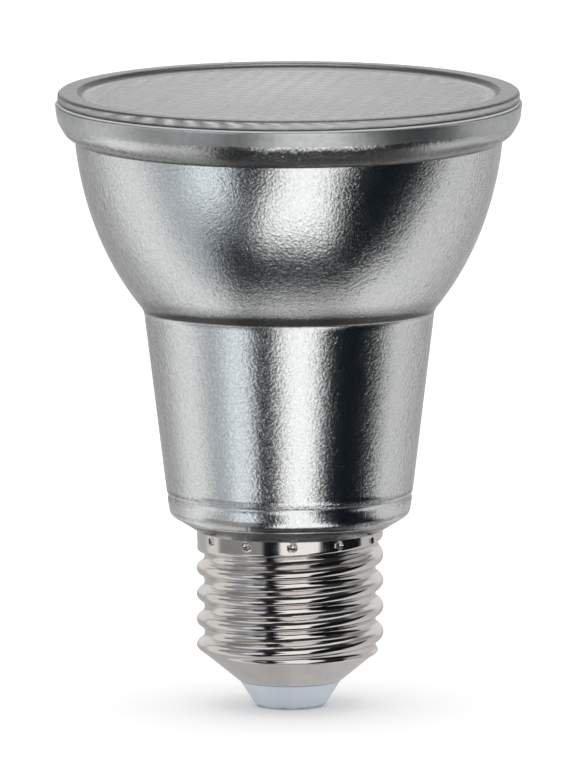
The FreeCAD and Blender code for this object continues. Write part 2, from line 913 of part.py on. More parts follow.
def capacitor_can(radius, length, rise):
    """A can that stands on the board, with its rolled neck near the seal."""
    can = revolve(
        [
            (0, 0),
            (radius, 0),
            (radius, can_neck_rise - can_neck_width / 2),
            (radius - can_neck_depth, can_neck_rise),
            (radius, can_neck_rise + can_neck_width / 2),
            (radius, length),
            (0, length),
        ],
        {5: can_edge_round},
    )
    vents = []
    for turn in (0, 90):
        vent = block(
            (-can_vent_reach * radius, -can_vent_width / 2, length - can_vent_depth),
            (can_vent_reach * radius, can_vent_width / 2, length + 1),
        )
        vents.append(turned(vent, turn))
    can = can.cut(vents)
    can.rotate(FreeCAD.Vector(0, 0, 0), FreeCAD.Vector(1, 0, 0), -90)
    can.translate(FreeCAD.Vector(0, driver_front_y, driver_low_z + rise))
    return can


def film_capacitor():
    low_z = driver_low_z + film_rise
    box = block(
        (film_side - film_width / 2, driver_front_y, low_z),
        (film_side + film_width / 2, driver_front_y + film_depth, low_z + film_height),
    )
    return box.makeChamfer(film_edge, [edge for edge in box.Edges if edge.BoundBox.YLength > film_depth / 2])


def surface_chip(width, height, depth, rise, legs):
    """A moulded chip on the board's back, with bent legs along two sides."""
    low_z = driver_low_z + rise
    outer_y = driver_back_y - depth
    body = block((-width / 2, outer_y, low_z), (width / 2, driver_back_y - chip_stand_off, low_z + height))
    outer = [edge for edge in body.Edges if edge.BoundBox.YMax < outer_y + 0.01]
    body = body.makeChamfer(chip_edge, outer)
    pieces = []
    for index in range(legs):
        x = width * ((index + 0.5) / legs - 0.5)
        pieces.append(chip_leg(x, low_z + height, 1, depth))
        pieces.append(chip_leg(x, low_z, -1, depth))
    return body.fuse(pieces).removeSplitter()


def chip_leg(x, root_z, side, depth):
    """A flat leg: out of the chip's side, down to the board and out along it."""
    knee_y = driver_back_y - depth * chip_knee_height
    knee_z = root_z + side * chip_leg_reach * chip_knee_share
    toe_z = root_z + side * chip_leg_reach
    sheet = chip_leg_sheet
    outline = [
        (knee_y, root_z - side * sheet),
        (knee_y, knee_z),
        (driver_back_y - sheet, knee_z),
        (driver_back_y - sheet, toe_z),
        (driver_back_y, toe_z),
        (driver_back_y, knee_z - side * sheet),
        (knee_y + sheet, knee_z - side * sheet),
        (knee_y + sheet, root_z - side * sheet),
    ]
    corners = [FreeCAD.Vector(x - chip_leg_width / 2, y, z) for y, z in outline]
    face = Part.Face(Part.makePolygon(corners + corners[:1]))
    return face.extrude(FreeCAD.Vector(chip_leg_width, 0, 0))


def fuse_resistor():
    low_z = driver_low_z + fuse_rise
    axis_y = driver_front_y + fuse_stand
    body = revolve(
        [
            (0, 0),
            (fuse_radius - fuse_edge, 0),
            (fuse_radius, fuse_edge),
            (fuse_radius, fuse_length - fuse_edge),
            (fuse_radius - fuse_edge, fuse_length),
            (0, fuse_length),
        ]
    )
    body.translate(FreeCAD.Vector(fuse_side, axis_y, low_z))
    wires = []
    for end_z, away in ((low_z, -1), (low_z + fuse_length, 1)):
        root = (fuse_side, axis_y, end_z - away * fuse_edge)
        corner = (fuse_side, axis_y, end_z + away * fuse_wire_reach)
        foot = (fuse_side, driver_front_y, end_z + away * fuse_wire_reach)
        wires.append(wire_tube([root, corner, foot], fuse_wire_radius, fuse_wire_bend))
    return body.fuse(wires).removeSplitter()


# The leads
def led_lead(side):
    """From the driver board up through the heat sink to its pad on the LED board."""
    start_z = driver_high_z - led_lead_drop
    top_z = board_top_z + led_lead_lift
    x = side * lead_hole_offset
    return wire_tube(
        [
            (x, driver_front_y, start_z),
            (x, 0, start_z),
            (x, 0, top_z),
            (side * lead_pad_offset, 0, top_z),
            (side * lead_pad_offset, 0, board_top_z),
        ],
        lead_radius,
        lead_bend_radius,
    )


def live_lead():
    z = driver_low_z + live_lead_rise
    places = [(0, driver_front_y, z), (0, 0, z), (0, 0, live_lead_end_z)]
    return wire_tube(places, lead_radius, lead_bend_radius)


def neutral_lead():
    z = neutral_z()
    end = thread_crest_radius - cap_sheet - neutral_lead_end_gap
    return wire_tube(
        [(neutral_lead_side, driver_front_y, z), (neutral_lead_side, 0, z), (end, 0, z)],
        neutral_lead_radius,
        lead_bend_radius,
    )


pad_hole_radius = screw_radius + 2 * screw_hole_gap
export(front_lens(), "front_lens")
export(lens_seal(), "lens_seal")
export(glass_reflector(), "glass_reflector")
export(cap_shell(), "cap_shell")
export(cap_insulator(), "cap_insulator")
export(centre_contact(), "centre_contact")
export(heat_sink(), "heat_sink")
export(flat_disc(pad_radius, plate_top_z, pad_thickness, pad_hole_radius), "thermal_pad")
export(led_board(), "led_board")
export(led_chips(), "led_chips")
export(led_phosphor(), "led_phosphor")
export(board_screws(), "board_screws")
export(driver_sleeve(), "driver_sleeve")
export(driver_board(), "driver_board")
export(transformer_core(), "transformer_core")
export(transformer_winding(), "transformer_winding")
export(capacitor_can(smoothing_radius, smoothing_length, smoothing_rise), "smoothing_capacitor")
export(capacitor_can(output_radius, output_length, output_rise), "output_capacitor")
export(film_capacitor(), "film_capacitor")
export(surface_chip(*rectifier_size, rectifier_rise, rectifier_legs), "bridge_rectifier")
export(surface_chip(*driver_chip_size, driver_chip_rise, driver_chip_legs), "driver_chip")
export(fuse_resistor(), "fuse_resistor")
export(led_lead(1), "led_lead_positive")
export(led_lead(-1), "led_lead_negative")
export(live_lead(), "live_lead")
export(neutral_lead(), "neutral_lead")
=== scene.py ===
import bpy
import math
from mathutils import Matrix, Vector


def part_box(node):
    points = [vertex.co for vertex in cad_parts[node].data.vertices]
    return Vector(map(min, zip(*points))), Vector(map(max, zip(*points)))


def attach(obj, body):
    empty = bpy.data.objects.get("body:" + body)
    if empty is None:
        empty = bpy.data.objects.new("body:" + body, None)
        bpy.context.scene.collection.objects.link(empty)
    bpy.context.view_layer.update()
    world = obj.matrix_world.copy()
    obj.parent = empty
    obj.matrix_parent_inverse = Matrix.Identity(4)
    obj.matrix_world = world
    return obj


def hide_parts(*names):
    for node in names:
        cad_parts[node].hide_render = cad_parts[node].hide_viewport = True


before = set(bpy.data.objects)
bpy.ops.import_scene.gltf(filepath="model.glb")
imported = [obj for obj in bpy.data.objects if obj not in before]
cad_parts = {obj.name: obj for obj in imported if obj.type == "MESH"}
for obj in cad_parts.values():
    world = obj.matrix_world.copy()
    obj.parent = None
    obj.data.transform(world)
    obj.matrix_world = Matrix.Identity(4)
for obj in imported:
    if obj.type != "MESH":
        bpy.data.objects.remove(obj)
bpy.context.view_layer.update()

# Tables below are in millimetres and degrees unless a name says otherwise. The scene is in metres.
mm = 0.001
tiny = 1e-6  # less than any distance in the tables


# A frame node's lowest and highest corners, in millimetres.
def boxOf(node):
    low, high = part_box(node)
    return low / mm, high / mm


capLow, capHigh = boxOf("cap_shell")
glassLow, glassHigh = boxOf("glass_reflector")
lensLow, lensHigh = boxOf("front_lens")
sealLow, sealHigh = boxOf("lens_seal")
baseLow, baseHigh = boxOf("cap_insulator")
contactLow, contactHigh = boxOf("centre_contact")
capTop = capHigh.z
rimTop = glassHigh.z
rimRadius = glassHigh.x


# Shader building
def link(tree, value, socket):
    if isinstance(value, bpy.types.NodeSocket):
        tree.links.new(value, socket)
    else:
        socket.default_value = value


def add(tree, kind, inputs=None, **settings):
    node = tree.nodes.new("ShaderNode" + kind)
    for key, value in settings.items():
        setattr(node, key, value)
    for key, value in (inputs or {}).items():
        link(tree, value, node.inputs[key])
    return node


def maths(tree, operation, first, second=0.0):
    return add(tree, "Math", {0: first, 1: second}, operation=operation).outputs[0]


# A colour ramp from (place, colour or grey) stops.
def ramp(tree, factor, stops):
    node = add(tree, "ValToRGB", {"Fac": factor})
    points = node.color_ramp
    while len(points.elements) < len(stops):
        points.elements.new(0.5)
    for element, (place, colour) in zip(points.elements, stops):
        element.position = place
    for element, (place, colour) in zip(points.elements, stops):
        if not isinstance(colour, tuple):
            colour = (colour, colour, colour)
        element.color = (*colour, 1.0)
    return node.outputs["Color"]


# Noise in the object's own space. The scale is in cells per metre.
def grain(tree, scale, detail=2.0, roughness=0.5, stretch=(1, 1, 1)):
    place = add(tree, "TexCoord").outputs["Object"]
    if stretch != (1, 1, 1):
        place = add(tree, "Mapping", {"Vector": place, "Scale": stretch}).outputs["Vector"]
    settings = {"Vector": place, "Scale": scale, "Detail": detail, "Roughness": roughness}
    return add(tree, "TexNoise", settings).outputs["Fac"]


# The surface's height between two heights in millimetres, as 0 to 1.
def heightFactor(tree, low, high):
    place = add(tree, "TexCoord").outputs["Object"]
    height = add(tree, "SeparateXYZ", {"Vector": place}).outputs["Z"]
    limits = {"Value": height, "From Min": low * mm, "From Max": high * mm}
    return add(tree, "MapRange", limits).outputs["Result"]


# A bump whose full height is depth, in millimetres.
def bump(tree, height, depth, strength=1.0, normal=None):
    node = add(tree, "Bump", {"Height": height, "Distance": depth * mm, "Strength": strength})
    if normal is not None:
        tree.links.new(normal, node.inputs["Normal"])
    return node.outputs["Normal"]


def newMaterial(name):
    material = bpy.data.materials.new(name)
    material.use_nodes = True
    tree = material.node_tree
    shader = next(node for node in tree.nodes if node.type == "BSDF_PRINCIPLED")
    return material, tree, shader


# From one colour or grey to another, over the span of 0.3 to 0.7 that most of a noise lies in.
def spread(tree, noise, low, high):
    return ramp(tree, noise, [(0.3, low), (0.7, high)])


# The colour, lighter and darker by a share that follows the noise.
def varied(tree, colour, noise, drift):
    dark = tuple(channel * (1 - drift) for channel in colour)
    light = tuple(min(channel * (1 + drift), 1.0) for channel in colour)
    return spread(tree, noise, dark, light)


# Two colours mixed. A Mix node's colour sockets are its inputs 6 and 7 and its output 2.
def mixed(tree, factor, first, second, blend="MIX"):
    node = add(tree, "Mix", {"Factor": factor}, data_type="RGBA", blend_type=blend)
    link(tree, first, node.inputs[6])
    link(tree, second, node.inputs[7])
    return node.outputs[2]


def multiplied(tree, first, second):
    return mixed(tree, 1.0, first, second, "MULTIPLY")


# Mesh building
# Points of the curve that rounds a corner between two points.
def bend(before, corner, after, steps=6):
    points = []
    for step in range(steps + 1):
        share = step / steps
        points.append(tuple(
            (1 - share) ** 2 * a + 2 * share * (1 - share) * b + share ** 2 * c
            for a, b, c in zip(before, corner, after)
        ))
    return points


# A closed outline from (radius, height, reach) corners, rounded over each reach. A rounding and the
# support points outside it stop short of the middle of their side.
def outlineOf(corners, support=0.12, roundedShare=0.45, supportShare=0.48):
    count = len(corners)
    points = []
    for index, (radius, height, reach) in enumerate(corners):
        corner = Vector((radius, height))
        if reach <= 0:
            points.append((radius, height))
            continue
        ends = []
        for other in (corners[index - 1], corners[(index + 1) % count]):
            away = Vector(other[:2]) - corner
            length = away.length
            away.normalize()
            ends.append((away, min(reach, roundedShare * length), length))
        before, after = (corner + away * size for away, size, length in ends)
        outer = [corner + away * min(size + support, supportShare * length) for away, size, length in ends]
        points.append(tuple(outer[0]))
        points.extend(bend(before, corner, after))
        points.append(tuple(outer[1]))
    return points


# A smooth-shaded object from points in millimetres. zones gives each face's material number.
def meshPiece(name, points, faces, materials, zones=None, sharp=35):
    mesh = bpy.data.meshes.new(name)
    mesh.from_pydata([tuple(value * mm for value in point) for point in points], [], faces)
    for material in materials:
        mesh.materials.append(material)
    if zones:
        mesh.polygons.foreach_set("material_index", zones)
    mesh.shade_smooth()
    mesh.set_sharp_from_angle(angle=math.radians(sharp))
    mesh.validate()
    piece = bpy.data.objects.new(name, mesh)
    bpy.context.scene.collection.objects.link(piece)
    return piece


# Faces between two rings of point numbers, triangles where one ring is a single point.
def facesBetween(low, high):
    faces = []
    for step in range(len(low)):
        after = (step + 1) % len(low)
        corners = []
        for corner in (low[step], low[after], high[after], high[step]):
            if corner not in corners:
                corners.append(corner)
        if len(corners) > 2:
            faces.append(corners)
    return faces


# A closed outline of (radius, height) points, listed anticlockwise, turned about Z.
def spun(name, outline, around, materials, zoneOf=None):
    points = []
    rings = []
    for radius, height in outline:
        if radius < tiny:
            rings.append([len(points)] * around)
            points.append((0.0, 0.0, height))
            continue
        rings.append(range(len(points), len(points) + around))
        for step in range(around):
            angle = 2 * math.pi * step / around
            points.append((radius * math.cos(angle), radius * math.sin(angle), height))
    faces = []
    zones = []
    for index in range(len(outline)):
        after = (index + 1) % len(outline)
        band = facesBetween(rings[index], rings[after])
        zone = zoneOf(outline[index], outline[after]) if zoneOf else 0
        faces.extend(band)
        zones.extend([zone] * len(band))
    return meshPiece(name, points, faces, materials, zones)


def standsFor(piece, node):
    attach(piece, "root")
    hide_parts(node)


# Glass reflector: pressed glass, silvered on its inside. A reach is how far a corner's rounding runs.
collarRadius = 13.0  # the cap's plain collar, under the glass foot
reflector = {
    "around": 320,
    "footRise": 3.7,
    "footRadius": 17.05,
    "footTopReach": 0.6,
    "footBaseStep": 0.1,
    "footBaseReach": 0.05,
    "footSlantRadius": 16.8,
    "footSlantRise": 2.3,
    "footReach": 0.55,
    "grooveRise": 1.3,
    "grooveWidth": 0.9,
    "grooveDepth": 0.28,
    "grooveEdgeReach": 0.15,
    "grooveRootReach": 0.22,
    "neckLength": 27.5,
    "neckTopRadius": 20.4,
    "neckWall": 2.2,
    "cornerReach": 0.7,
    "cornerSteps": 10,
    "support": 0.2,
    "bowlHalfWidth": 30.2,
    "bowlHalfHeight": 39.1,
    "bowlWall": 2.0,
    "bowlSteps": 64,
    "rimRoot": 0.9,
    "rimBand": 2.35,
    "rimDraft": 0.27,
    "rimSlant": 1.95,
    "rimSlantWidth": 1.15,
    "rimAboveEquator": 0.25,
    "slantLowReach": 0.55,
    "slantTopReach": 0.75,
    "rimTopReach": 0.25,
    "mouthReach": 0.1,
    "throatStep": 0.02,
    "floorRise": 2.0,
    "floorReach": 0.5,
    "stemBore": 10.2,
    "stemRadius": 12.6,
    "stemTail": 11.4,
    "stemTailLength": 2.4,
    "stemTailSlant": 0.3,
    "stemTailReach": 0.2,
    "stemMouthReach": 0.1,
    "coatBelowFloor": 0.1,
    "coatBelowRim": 1.9,
    "coatEdge": 0.3,
    "shadeBandLow": 0.3,
    "shadeBandHigh": 3.5,
}
footTop = capTop + reflector["footRise"]
neckTop = footTop + reflector["neckLength"]
equator = rimTop - reflector["rimAboveEquator"]
neckSlope = (reflector["neckTopRadius"] - reflector["footRadius"]) / reflector["neckLength"]


def neckRadius(height):
    return reflector["footRadius"] + neckSlope * (height - footTop)


def bowlRadius(height, inset=0.0):
    share = (height - equator) / (reflector["bowlHalfHeight"] - inset)
    return (reflector["bowlHalfWidth"] - inset) * math.sqrt(1 - share ** 2)


# The bowl's curved side from a low height to a high one, evenly spaced in height.
def bowlSide(low, high, inset=0.0):
    steps = reflector["bowlSteps"]
    heights = [low + (high - low) * step / steps for step in range(steps + 1)]
    return [(bowlRadius(height, inset), height) for height in heights]


def reflectorOutline():
    t = reflector
    slantTop = rimTop - t["rimBand"]
    slantLow = slantTop - t["rimSlant"]
    rimLowRadius = rimRadius - t["rimDraft"]
    slantLowRadius = rimLowRadius - t["rimSlantWidth"]
    groove = footTop + t["grooveRise"]
    halfGroove = t["grooveWidth"] / 2
    floor = capTop + t["floorRise"]
    lower = outlineOf([
        (t["stemBore"], glassLow.z, 0),
        (t["stemTail"], glassLow.z, t["stemTailReach"]),
        (t["stemTail"], glassLow.z + t["stemTailLength"], 0),
        (t["stemRadius"], glassLow.z + t["stemTailLength"] + t["stemTailSlant"], 0),
        (t["stemRadius"], capTop, 0),
        (collarRadius + t["footBaseStep"], capTop, t["footBaseReach"]),
        (t["footSlantRadius"], capTop + t["footSlantRise"], t["footReach"]),
        (t["footRadius"], footTop, t["footTopReach"]),
        (neckRadius(groove - halfGroove), groove - halfGroove, t["grooveEdgeReach"]),
        (neckRadius(groove) - t["grooveDepth"], groove, t["grooveRootReach"]),
        (neckRadius(groove + halfGroove), groove + halfGroove, t["grooveEdgeReach"]),
        (neckRadius(neckTop), neckTop, 0),
    ])[:-1]
    reach = t["cornerReach"]
    bendLow = (neckRadius(neckTop - reach), neckTop - reach)
    bendHigh = (bowlRadius(neckTop + reach), neckTop + reach)
    shoulder = neckTop - reach - t["support"]
    corner = [(neckRadius(shoulder), shoulder)]
    corner += bend(bendLow, (t["neckTopRadius"], neckTop), bendHigh, t["cornerSteps"])
    rimRoot = slantLow - t["rimRoot"]
    bowl = bowlSide(neckTop + reach, rimRoot)[1:-1]
    rim = outlineOf([
        (bowlRadius(rimRoot), rimRoot, 0),
        (slantLowRadius, slantLow, t["slantLowReach"]),
        (rimLowRadius, slantTop, t["slantTopReach"]),
        (rimRadius, rimTop, t["rimTopReach"]),
        (bowlRadius(equator, t["bowlWall"]), rimTop, t["mouthReach"]),
        (bowlRadius(equator, t["bowlWall"]), equator, 0),
    ])
    throat = neckTop
    while bowlRadius(throat, t["bowlWall"]) > neckRadius(throat) - t["neckWall"]:
        throat = throat - t["throatStep"]
    while bowlRadius(throat, t["bowlWall"]) < neckRadius(throat) - t["neckWall"]:
        throat = throat + t["throatStep"]
    inside = list(reversed(bowlSide(throat, equator, t["bowlWall"])))[1:]
    below = throat - t["support"]
    well = outlineOf([
        (bowlRadius(throat, t["bowlWall"]), throat, 0),
        (neckRadius(below) - t["neckWall"], below, 0),
        (neckRadius(floor) - t["neckWall"], floor, t["floorReach"]),
        (t["stemBore"], floor, t["stemMouthReach"]),
        (t["stemBore"], glassLow.z, 0),
    ])[1:-1]
    return lower + corner + bowl + rim + inside + well


# The finish of a face: 0 bare glass, 1 silver coat, 2 coat's thin upper edge.
def glassZone(first, second):
    height = (first[1] + second[1]) / 2
    radius = (first[0] + second[0]) / 2
    floor = capTop + reflector["floorRise"] - reflector["coatBelowFloor"]
    if height < floor or height > rimTop - reflector["coatEdge"]:
        return 0
    wall = neckRadius(height) if height < neckTop else bowlRadius(height)
    if radius > wall - reflector["bowlWall"] / 2:
        return 0
    return 2 if height > rimTop - reflector["coatBelowRim"] else 1


# The stipple's strength is given as (share, strength) stops between two heights.
pressedGlass = {
    "colour": (0.945, 0.955, 0.95),
    "index": 1.5,
    "roughness": 0.04,
    "grainScale": 2400.0,
    "grainDepth": 0.05,
    "waveScale": 420.0,
    "waveDepth": 0.03,
    "textured": [(0.0, 0.25), (0.138, 0.25), (0.150, 1.0), (0.490, 1.0), (0.508, 0.45), (0.535, 0.6),
                 (0.565, 1.0), (0.888, 1.0), (0.910, 0.35), (1.0, 0.3)],
    "textureLow": 20.0,
    "textureHigh": 90.0,
}
# Its band is painted shade: it darkens the coat over the corner where the bowl meets the neck, between the
# reflector's two band heights, in place of the dark reflection there.
silver = {
    "colour": (0.872, 0.876, 0.874),
    "drift": 0.08,
    "spotScale": 1.2,
    "roughness": 0.10,
    "grainScale": 2800.0,
    "grainDetail": 3.0,
    "grainRoughness": 0.6,
    "grainDepth": 0.028,
    # band: painted shade over the bowl-to-neck corner, as shares of the coat's colour
    "band": [(0.0, 1.0), (0.25, 0.72), (0.65, 0.62), (1.0, 1.0)],
}
thinSilver = dict(silver, colour=(0.80, 0.81, 0.81), roughness=0.32, grainScale=900.0, grainDepth=0.03)


def glassMaterial(name, table):
    material, tree, shader = newMaterial(name)
    shader.inputs["Base Color"].default_value = (*table["colour"], 1)
    shader.inputs["Roughness"].default_value = table["roughness"]
    shader.inputs["IOR"].default_value = table["index"]
    shader.inputs["Transmission Weight"].default_value = 1.0
    wave = bump(tree, grain(tree, table["waveScale"], detail=1.0), table["waveDepth"])
    strength = 1.0
    if "textured" in table:
        factor = heightFactor(tree, table["textureLow"], table["textureHigh"])
        strength = ramp(tree, factor, table["textured"])
    normal = bump(tree, grain(tree, table["grainScale"]), table["grainDepth"], strength, wave)
    tree.links.new(normal, shader.inputs["Normal"])
    return material


def silverMaterial(name, table):
    material, tree, shader = newMaterial(name)
    spots = grain(tree, table["grainScale"] * table["spotScale"], table["grainDetail"])
    # Painted shade: the band darkens the coat over the bowl-to-neck corner, in place of the dark reflection
    # there.
    factor = heightFactor(tree, neckTop + reflector["shadeBandLow"], neckTop + reflector["shadeBandHigh"])
    band = ramp(tree, factor, table["band"])
    coat = multiplied(tree, varied(tree, table["colour"], spots, table["drift"]), band)
    tree.links.new(coat, shader.inputs["Base Color"])
    shader.inputs["Metallic"].default_value = 1.0
    shader.inputs["Roughness"].default_value = table["roughness"]
    height = grain(tree, table["grainScale"], table["grainDetail"], table["grainRoughness"])
    tree.links.new(bump(tree, height, table["grainDepth"]), shader.inputs["Normal"])
    return material


glassBody = spun(
    "pressedReflector",
    reflectorOutline(),
    reflector["around"],
    [
        glassMaterial("pressedGlass", pressedGlass),
        silverMaterial("silverCoat", silver),
        silverMaterial("thinSilver", thinSilver),
    ],
    glassZone,
)
standsFor(glassBody, "glass_reflector")
print("reflector", len(glassBody.data.polygons))


# Front lens: clear disc with a raised border, and rows of pillow lenslets on its inner face
lens = {
    "around": 480,
    "rings": 150,
    "sharpAngle": 50,
    "spigotGap": 0.3,
    "spigotChamfer": 0.02,
    "spigotReach": 0.15,
    "borderHeight": 1.4,
    "borderWidth": 2.75,
    "borderSlant": 0.5,
    "borderReach": 0.55,
    "borderInnerReach": 0.2,
    "flangeReach": 0.08,
    "recess": 0.47,
    "recessReach": 0.25,
    "fieldGap": 0.2,
    "pillowPitch": 2.7,
    "pillowDepth": 0.6,
    "pillowBow": 0.8,
    "pillowTurn": -12.0,
    "pillowBorder": 0.5,
    "pillowFade": 0.4,
    "edgeInside": 0.05,
    "edgeBelowTop": 0.02,
}
frostedEdge = {
    "colour": (0.96, 0.97, 0.965),
    "index": 1.5,
    "roughness": 0.28,
    "grainScale": 1600.0,
    "grainDepth": 0.03,
    "waveScale": 200.0,
    "waveDepth": 0.02,
}
lensGlass = {
    "colour": (0.97, 0.98, 0.975),
    "index": 1.5,
    "roughness": 0.0,
    "grainScale": 700.0,
    "grainDepth": 0.004,
    "waveScale": 90.0,
    "waveDepth": 0.012,
}


# How far the inner face is raised above the crown of the nearest lenslet.
def pillowHeight(x, y):
    turn = math.radians(lens["pillowTurn"])
    across = (x * math.cos(turn) + y * math.sin(turn)) / lens["pillowPitch"]
    along = (y * math.cos(turn) - x * math.sin(turn)) / lens["pillowPitch"]
    away = min(2 * math.hypot(across - round(across), along - round(along)), 1.0)
    bow = lens["pillowBow"]
    return lens["pillowDepth"] * (1 - math.sqrt(1 - bow * away ** 2)) / (1 - math.sqrt(1 - bow))


# The lens's border from the spigot's foot up, over the flange and down to the recess's middle.
def lensBorder(spigotRadius):
    t = lens
    top = lensHigh.z
    flangeRadius = lensHigh.x
    flangeLow = top - t["borderHeight"]
    borderRadius = flangeRadius - t["borderWidth"]
    recessTop = top - t["recess"]
    return outlineOf([
        (spigotRadius - t["spigotChamfer"], lensLow.z, 0),
        (spigotRadius, lensLow.z, t["spigotReach"]),
        (spigotRadius, flangeLow, 0),
        (flangeRadius, flangeLow, t["flangeReach"]),
        (flangeRadius, top, t["borderReach"]),
        (borderRadius, top, t["borderInnerReach"]),
        (borderRadius - t["borderSlant"], recessTop, t["recessReach"]),
        (borderRadius / 2, recessTop, 0),
        (0.0, recessTop, 0),
    ])[1:]


def frontLens():
    spigotRadius = bowlRadius(equator, reflector["bowlWall"]) - lens["spigotGap"]
    fieldRadius = spigotRadius - lens["fieldGap"]
    rings = lens["rings"]
    field = [(fieldRadius * ring / rings, None) for ring in range(rings + 1)]
    rows = field + lensBorder(spigotRadius)
    around = lens["around"]
    points = []
    loops = []
    for radius, height in rows:
        if radius < tiny:
            loops.append([len(points)] * around)
            points.append((0.0, 0.0, lensLow.z if height is None else height))
            continue
        loops.append(range(len(points), len(points) + around))
        for step in range(around):
            angle = 2 * math.pi * step / around
            x = radius * math.cos(angle)
            y = radius * math.sin(angle)
            z = height
            if z is None:
                fade = (spigotRadius - lens["pillowBorder"] - radius) / lens["pillowFade"]
                z = lensLow.z + pillowHeight(x, y) * min(max(fade, 0.0), 1.0)
            points.append((x, y, z))
    faces = []
    zones = []
    for index, (low, high) in enumerate(zip(loops, loops[1:])):
        edge = min(rows[index][0], rows[index + 1][0]) > spigotRadius - lens["edgeInside"]
        edge = edge and rows[index + 1][1] < lensHigh.z - lens["edgeBelowTop"]
        band = facesBetween(low, high)
        faces.extend(band)
        zones.extend([1 if edge else 0] * len(band))
    finishes = [glassMaterial("lensGlass", lensGlass), glassMaterial("frostedEdge", frostedEdge)]
    return meshPiece("patternedLens", points, faces, finishes, zones, lens["sharpAngle"])


lensPiece = frontLens()
standsFor(lensPiece, "front_lens")
print("lens", len(lensPiece.data.polygons))


# Adhesive ring between the lens and the rim
sealRing = {
    "around": 256,
    "inset": 1.0,
    "bulge": 0.06,
    "bulgeReach": 0.08,
    "colour": (0.48, 0.49, 0.48),
    # inside: painted light, the pale colour where the lens's border shows the seal
    "inside": (0.86, 0.87, 0.87),
    "edge": 0.35,
    "edgeShare": 0.7,
    "spotScale": 500.0,
    "spots": (0.9, 1.0),
    "roughness": 0.45,
    "grainScale": 1800.0,
    "grainDepth": 0.01,
}


# Pale inside, where the lens's border shows it, and darker at its outer edge. The pale inside is painted
# light, in place of the light that comes through the seal and the rim glass.
def sealMaterial():
    material, tree, shader = newMaterial("adhesiveWithPaintedLight")
    place = add(tree, "TexCoord").outputs["Object"]
    flat = add(tree, "VectorMath", {0: place, 1: (1.0, 1.0, 0.0)}, operation="MULTIPLY").outputs[0]
    radius = add(tree, "VectorMath", {0: flat}, operation="LENGTH").outputs["Value"]
    edge = sealHigh.x - sealRing["edge"]
    limits = {"Value": radius, "From Min": edge * mm, "From Max": sealHigh.x * mm}
    outside = add(tree, "MapRange", limits).outputs["Result"]
    # Painted light: pale inside, going to the adhesive's grey at the outer edge.
    shade = ramp(tree, outside, [(0.0, sealRing["inside"]), (sealRing["edgeShare"], sealRing["colour"])])
    spots = spread(tree, grain(tree, sealRing["spotScale"], detail=3.0), *sealRing["spots"])
    tree.links.new(multiplied(tree, shade, spots), shader.inputs["Base Color"])
    shader.inputs["Roughness"].default_value = sealRing["roughness"]
    height = grain(tree, sealRing["grainScale"])
    tree.links.new(bump(tree, height, sealRing["grainDepth"]), shader.inputs["Normal"])
    return material


sealInner = bowlRadius(equator, reflector["bowlWall"]) + sealRing["inset"]
sealOutline = outlineOf([
    (sealInner, sealLow.z, 0),
    (sealHigh.x - sealRing["bulge"], sealLow.z, 0),
    (sealHigh.x, (sealLow.z + sealHigh.z) / 2, sealRing["bulgeReach"]),
    (sealHigh.x - sealRing["bulge"], sealHigh.z, 0),
    (sealInner, sealHigh.z, 0),
])
sealPiece = spun("adhesiveRing", sealOutline, sealRing["around"], [sealMaterial()])
standsFor(sealPiece, "lens_seal")
print("seal", len(sealPiece.data.polygons))


# Cap shell: thin plated sheet with the rolled thread, dimples and drawn-in lower end
cap = {
    "around": 480,
    "outerStep": 0.17,
    "innerStep": 0.5,
    "collarStep": 0.45,
    "collarRows": 2.0,
    "taperStep": 2.0,
    "taperRows": 1.0,
    "sharpAngle": 40,
    "sheet": 0.3,
    "collarStraight": 1.4,
    "threadPitch": 3.629,
    "threadCrestRadius": 13.1,
    "threadRound": 1.025,
    "threadPhase": 10.4,
    "threadFade": 0.85,
    "threadBlend": 0.8,
    "crestFall": 2.4,
    "collarCorner": 1.7,
    "taperTopRadius": 12.3,
    "taperTop": 7.8,
    "taperBlend": 0.6,
    "lipRadius": 7.2,
    "lipRound": 0.25,
    "lipRows": (0.0, 0.07, 0.25, 0.55),
    "dimpleCount": 12,
    "dimpleRadius": 0.57,
    "dimpleDepth": 0.34,
    "dimpleDrop": 0.75,
    "dimpleTurn": 2.0,
    "dimpleRing": 0.35,
    "dimpleRingRise": 0.05,
}
taperSlope = (cap["taperTopRadius"] - cap["lipRadius"]) / (cap["taperTop"] - capLow.z)


def ease(low, high, value):
    share = min(max((value - low) / (high - low), 0.0), 1.0)
    return share * share * (3 - 2 * share)


# Depth of the rolled thread at a height from a root: equal round roots and crests.
def grooveDepth(away):
    curve = cap["threadRound"]
    quarter = cap["threadPitch"] / 4
    if away < quarter:
        bulge = curve - math.sqrt(curve ** 2 - quarter ** 2)
        return 2 * bulge - curve + math.sqrt(curve ** 2 - away ** 2)
    away = cap["threadPitch"] / 2 - away
    return curve - math.sqrt(curve ** 2 - away ** 2)


# Outer radius of the sheet: taper below, thread, then plain collar.
def shellRadius(angle, height):
    pitch = cap["threadPitch"]
    threadEnd = capTop - cap["collarStraight"]
    firstRoot = cap["threadPhase"] + pitch * (angle / (2 * math.pi) - 0.5)
    root = firstRoot + pitch * round((height - firstRoot) / pitch)
    runOut = 1 - ease(threadEnd - cap["threadFade"], threadEnd, root)
    crestShare = 1 - ease(threadEnd - cap["crestFall"], threadEnd - cap["threadBlend"], height)
    crest = collarRadius + (cap["threadCrestRadius"] - collarRadius) * crestShare
    away = abs(height - root)
    if height > root:
        lastTurn = ease(threadEnd - pitch, threadEnd - pitch + cap["threadBlend"], root)
        away = min(away * (1 + (cap["collarCorner"] - 1) * lastTurn), pitch / 2)
    radius = crest - runOut * grooveDepth(away)
    taper = cap["taperTopRadius"] - taperSlope * (cap["taperTop"] - height)
    share = ease(cap["taperTop"] - cap["threadBlend"], cap["taperTop"] + cap["threadBlend"], height)
    return radius * share + min(taper, cap["taperTopRadius"]) * (1 - share)


